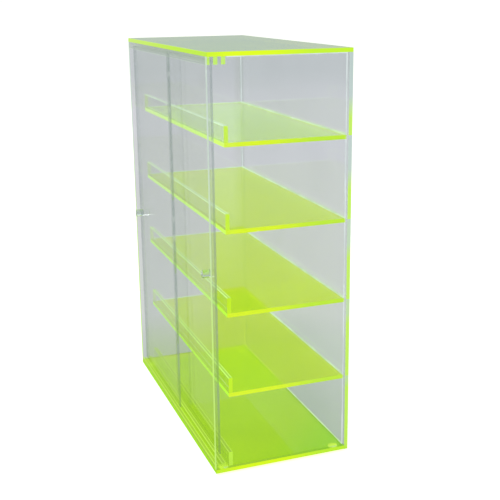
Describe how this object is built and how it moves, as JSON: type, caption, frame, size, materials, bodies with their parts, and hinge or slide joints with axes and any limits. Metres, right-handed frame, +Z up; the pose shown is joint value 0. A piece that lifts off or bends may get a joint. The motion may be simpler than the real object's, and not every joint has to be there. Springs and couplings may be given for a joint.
{
  "type": "display cabinet",
  "caption": "Free-standing clear acrylic cabinet with a back, fixed lipped shelves on even levels, and by-pass sliding doors with round knobs in a rail track; edges glow yellow-green.",
  "frame": {"origin": "under the centre of the overall outline, knobs included, on the surface that the feet rest on", "axes": "+X to the right seen from the front, +Y from the doors to the back panel, +Z up"},
  "size_m": [0.375, 0.1794, 0.5025],
  "materials": {
    "edge_glow_acrylic": "clear fluorescent-edge acrylic sheet, polished faces, cut edges glow yellow-green",
    "clear_acrylic": "clear colourless acrylic, polished",
    "clear_foot": "clear soft bumper"
  },
  "bodies": {
    "cabinet": {"top_panel": "edge_glow_acrylic", "base_panel": "edge_glow_acrylic", "back_panel": "clear_acrylic", "left_side_panel": "clear_acrylic", "right_side_panel": "clear_acrylic", "shelf_1": "edge_glow_acrylic", "shelf_2": "edge_glow_acrylic", "shelf_3": "edge_glow_acrylic", "shelf_4": "edge_glow_acrylic", "shelf_lip_1": "edge_glow_acrylic", "shelf_lip_2": "edge_glow_acrylic", "shelf_lip_3": "edge_glow_acrylic", "shelf_lip_4": "edge_glow_acrylic", "top_front_rail": "edge_glow_acrylic", "top_middle_rail": "edge_glow_acrylic", "top_rear_rail": "edge_glow_acrylic", "bottom_front_rail": "edge_glow_acrylic", "bottom_middle_rail": "edge_glow_acrylic", "bottom_rear_rail": "edge_glow_acrylic", "foot_front_left": "clear_foot", "foot_front_right": "clear_foot", "foot_rear_left": "clear_foot", "foot_rear_right": "clear_foot"},
    "left_sliding_door": {"left_door": "clear_acrylic", "left_knob": "clear_acrylic"},
    "right_sliding_door": {"right_door": "clear_acrylic", "right_knob": "clear_acrylic"}
  },
  "joints": [
    {"name": "left_door_slide", "type": "slide", "parent": "cabinet", "child": "left_sliding_door", "axis": [1, 0, 0], "range_m": [0, 0.0772]},
    {"name": "right_door_slide", "type": "slide", "parent": "cabinet", "child": "right_sliding_door", "axis": [1, 0, 0], "range_m": [-0.0472, 0.03]}
  ]
}
